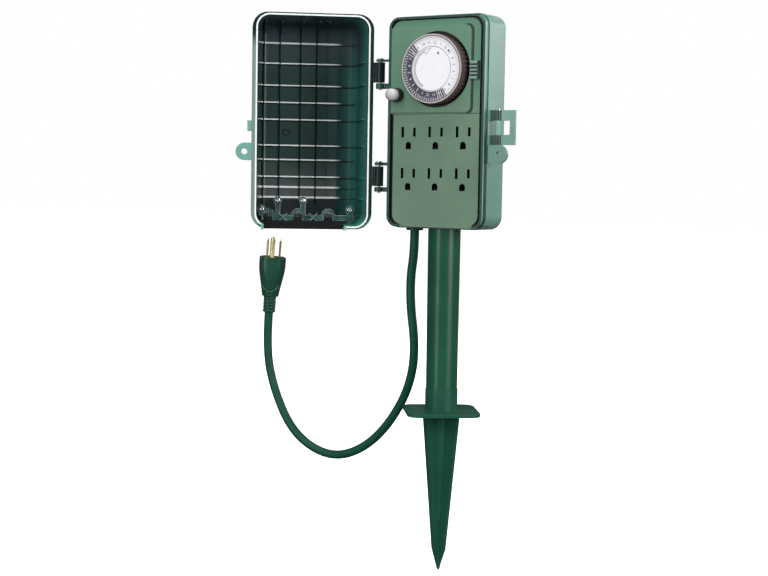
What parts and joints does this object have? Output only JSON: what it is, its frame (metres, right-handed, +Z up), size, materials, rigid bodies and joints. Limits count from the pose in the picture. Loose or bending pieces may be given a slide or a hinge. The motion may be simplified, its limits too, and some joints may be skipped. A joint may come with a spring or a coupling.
{
  "type": "outdoor socket timer",
  "caption": "Weatherproof outdoor socket timer on a ground stake: grounded outlets under a mechanical dial, hinged deep cover, latch, short cord with plug.",
  "frame": {"origin": "on the post's axis, at the ground line under the stake's flange", "axes": "+Z up the post; the outlets face -Y; +X to the right as one faces them"},
  "size_m": [0.291, 0.146, 0.5224],
  "materials": {
    "green_case": "moulded mid green, fine grain",
    "green_dark": "moulded dark green",
    "green_door": "moulded dark teal green",
    "black": "black moulding",
    "grey_dial": "grey-brown moulding",
    "label": "printed white disc",
    "knob": "pale grey",
    "nylon": "natural nylon",
    "seal": "black flexible strip",
    "pale_seal": "pale seal",
    "cord": "green outdoor cord jacket",
    "brass": "bright",
    "steel": "zinc plated"
  },
  "bodies": {
    "case": {"rear_case": "green_case", "outlet_panel": "green_case", "timer_panel": "green_case", "case_screws": "steel", "timer_screws": "steel", "post_screw": "steel", "timer_housing": "black", "dial_centre": "label", "timer_motor": "steel", "micro_switch": "black", "slide_switch_body": "black", "breaker_body": "black", "breaker_collar": "black", "contact_carrier": "black", "line_bus": "brass", "neutral_bus": "brass", "ground_bus": "brass", "hinge_pins": "steel", "latch_pin": "steel", "cord_gland": "green_dark", "cord_tail": "cord", "clamp_base": "black", "clamp_saddle": "black", "clamp_screws": "steel", "power_cord": "cord", "line_lead": "cord", "neutral_lead": "cord", "ground_lead": "cord", "timer_lead": "cord", "plug_boot": "cord", "plug_body": "cord", "plug_blades": "brass", "plug_ground_pin": "brass", "post": "green_dark", "ground_stake": "green_dark"},
    "door": {"door_shell": "green_door", "door_gasket": "pale_seal", "cord_gate": "green_door", "gate_screws": "steel", "gate_clips": "green_door", "cord_seal_strip": "seal"},
    "hasp": {"latch_hasp": "green_case"},
    "dial": {"dial_ring": "grey_dial", "hour_ring": "label", "dial_gear": "nylon"},
    "night_group": {"night_trippers": "grey_dial"},
    "morning_group": {"morning_trippers": "grey_dial"},
    "afternoon_group": {"afternoon_trippers": "grey_dial"},
    "evening_group": {"evening_trippers": "grey_dial"},
    "idler": {"idler_gear": "nylon"},
    "pinion": {"motor_pinion": "nylon"},
    "lever": {"switch_lever": "steel"},
    "thumb": {"slide_thumb": "green_case"},
    "button": {"reset_button": "knob"}
  },
  "joints": [
    {"name": "door_hinge", "type": "hinge", "parent": "case", "child": "door", "pos_m": [-0.0635, -0.016, 0.268], "axis": [0, 0, -1], "range_deg": [-140, 30]},
    {"name": "latch_hinge", "type": "hinge", "parent": "case", "child": "hasp", "pos_m": [0.0595, -0.01, 0.2665], "axis": [0, 0, 1], "range_deg": [-90, 15]},
    {"name": "dial_turn", "type": "hinge", "parent": "case", "child": "dial", "pos_m": [0.001, -0.02, 0.3197], "axis": [0, 1, 0], "continuous": true},
    {"name": "idler_turn", "type": "hinge", "parent": "case", "child": "idler", "pos_m": [0.001, -0.013, 0.2972], "axis": [0, 1, 0], "continuous": true},
    {"name": "pinion_turn", "type": "hinge", "parent": "case", "child": "pinion", "pos_m": [0.0095, -0.013, 0.2972], "axis": [0, 1, 0], "continuous": true},
    {"name": "night_push", "type": "slide", "parent": "dial", "child": "night_group", "axis": [0, 1, 0], "range_m": [0, 0.003]},
    {"name": "morning_push", "type": "slide", "parent": "dial", "child": "morning_group", "axis": [0, 1, 0], "range_m": [0, 0.003]},
    {"name": "afternoon_push", "type": "slide", "parent": "dial", "child": "afternoon_group", "axis": [0, 1, 0], "range_m": [0, 0.003]},
    {"name": "evening_push", "type": "slide", "parent": "dial", "child": "evening_group", "axis": [0, 1, 0], "range_m": [0, 0.003]},
    {"name": "lever_press", "type": "hinge", "parent": "case", "child": "lever", "pos_m": [-0.02, -0.0109, 0.3306], "axis": [-1, 0, 0], "range_deg": [0, 5], "stiffness_Nm_per_rad": 0.002},
    {"name": "slide_switch", "type": "slide", "parent": "case", "child": "thumb", "axis": [0, 0, 1], "range_m": [0, 0.0045]},
    {"name": "reset_press", "type": "slide", "parent": "case", "child": "button", "axis": [0, 1, 0], "range_m": [0, 0.003], "stiffness_N_per_m": 300}
  ],
  "couplings": [
    {"joint": "idler_turn", "follows": "dial_turn", "ratio": -3.5714},
    {"joint": "pinion_turn", "follows": "dial_turn", "ratio": 5}
  ]
}
